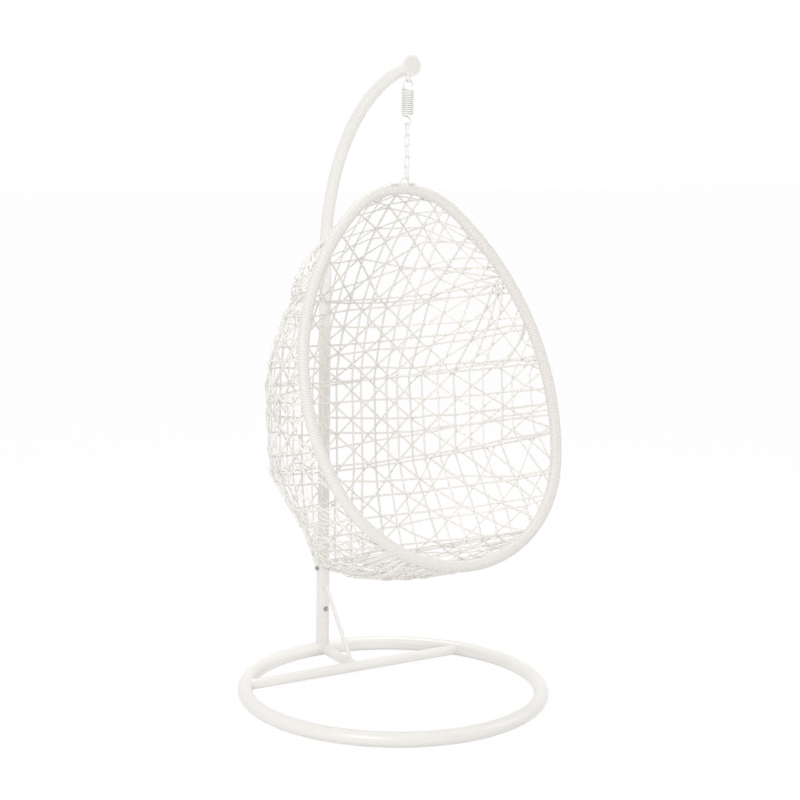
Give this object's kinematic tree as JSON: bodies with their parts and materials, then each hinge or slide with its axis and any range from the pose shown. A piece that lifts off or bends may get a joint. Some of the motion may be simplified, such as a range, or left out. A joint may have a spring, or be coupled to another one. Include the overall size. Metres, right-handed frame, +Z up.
{
  "type": "hanging egg chair",
  "caption": "Egg-shaped open-weave basket seat hung by chain and spring from a curved pole on a ring base.",
  "frame": {"origin": "on the floor at the centre of the base ring", "axes": "+Z up, -Y towards where the sitter faces, the pole stands at +Y, +X to the right"},
  "size_m": [0.9599, 0.96, 1.9436],
  "materials": {
    "stand_tube": "warm white gloss powder coat",
    "basket_frame": "warm white powder coat",
    "spring_and_chain": "white powder coat",
    "woven_strand": "cream white extruded strand with fine grain",
    "wound_strand": "cream white extruded strand, wound side by side",
    "bolts": "zinc plated",
    "plug": "moulded, satin"
  },
  "bodies": {
    "stand": {"base_ring": "stand_tube", "cross_bar": "stand_tube", "foot_bar": "stand_tube", "brace_rod": "stand_tube", "lower_post": "stand_tube", "upper_pole": "stand_tube", "pole_end_flange": "stand_tube", "pole_end_plug": "plug", "pole_eye": "stand_tube", "post_bolts": "bolts", "post_nuts": "bolts", "post_washers": "bolts"},
    "spring": {"spring": "spring_and_chain"},
    "upper_links": {"chain_link_1": "spring_and_chain", "chain_link_2": "spring_and_chain"},
    "lower_links": {"chain_link_3": "spring_and_chain", "chain_link_4": "spring_and_chain", "chain_link_5": "spring_and_chain"},
    "basket": {"basket_bracket": "stand_tube", "rim_tube_top": "basket_frame", "rim_tube_left": "basket_frame", "rim_tube_right": "basket_frame", "rim_tube_bottom": "basket_frame", "rim_wrap_top": "wound_strand", "rim_wrap_left": "wound_strand", "rim_wrap_right": "wound_strand", "rim_wrap_bottom": "wound_strand", "hoop_upper": "basket_frame", "hoop_middle": "basket_frame", "hoop_lower": "basket_frame", "hoop_bottom": "basket_frame", "rib_center": "basket_frame", "ribs_inner": "basket_frame", "ribs_rear_side": "basket_frame", "ribs_side": "basket_frame", "ribs_front": "basket_frame", "weave_top_left": "woven_strand", "weave_top_center": "woven_strand", "weave_top_right": "woven_strand", "weave_upper_far_left": "woven_strand", "weave_upper_left": "woven_strand", "weave_upper_center": "woven_strand", "weave_upper_right": "woven_strand", "weave_upper_far_right": "woven_strand", "weave_back_far_left": "woven_strand", "weave_back_left": "woven_strand", "weave_back_center": "woven_strand", "weave_back_right": "woven_strand", "weave_back_far_right": "woven_strand", "weave_seat_rear_left": "woven_strand", "weave_seat_rear_center": "woven_strand", "weave_seat_rear_right": "woven_strand", "weave_seat_front_left": "woven_strand", "weave_seat_front_center": "woven_strand", "weave_seat_front_right": "woven_strand"}
  },
  "joints": [
    {"name": "basket_sway", "type": "hinge", "parent": "stand", "child": "spring", "pos_m": [0, -0.033, 1.8683], "axis": [0, 1, 0], "range_deg": [-12, 12]},
    {"name": "spring_bounce", "type": "slide", "parent": "spring", "child": "upper_links", "axis": [0, 0, -1], "range_m": [0, 0.03], "stiffness_N_per_m": 30000, "springref_m": -0.00279, "deforming": ["spring"]},
    {"name": "basket_swing", "type": "hinge", "parent": "upper_links", "child": "lower_links", "pos_m": [0, -0.033, 1.68125], "axis": [-1, 0, 0], "range_deg": [-2, 20]},
    {"name": "basket_turn", "type": "hinge", "parent": "lower_links", "child": "basket", "pos_m": [0, -0.033, 1.59375], "axis": [0, 0, 1], "range_deg": [-18, 18]}
  ]
}
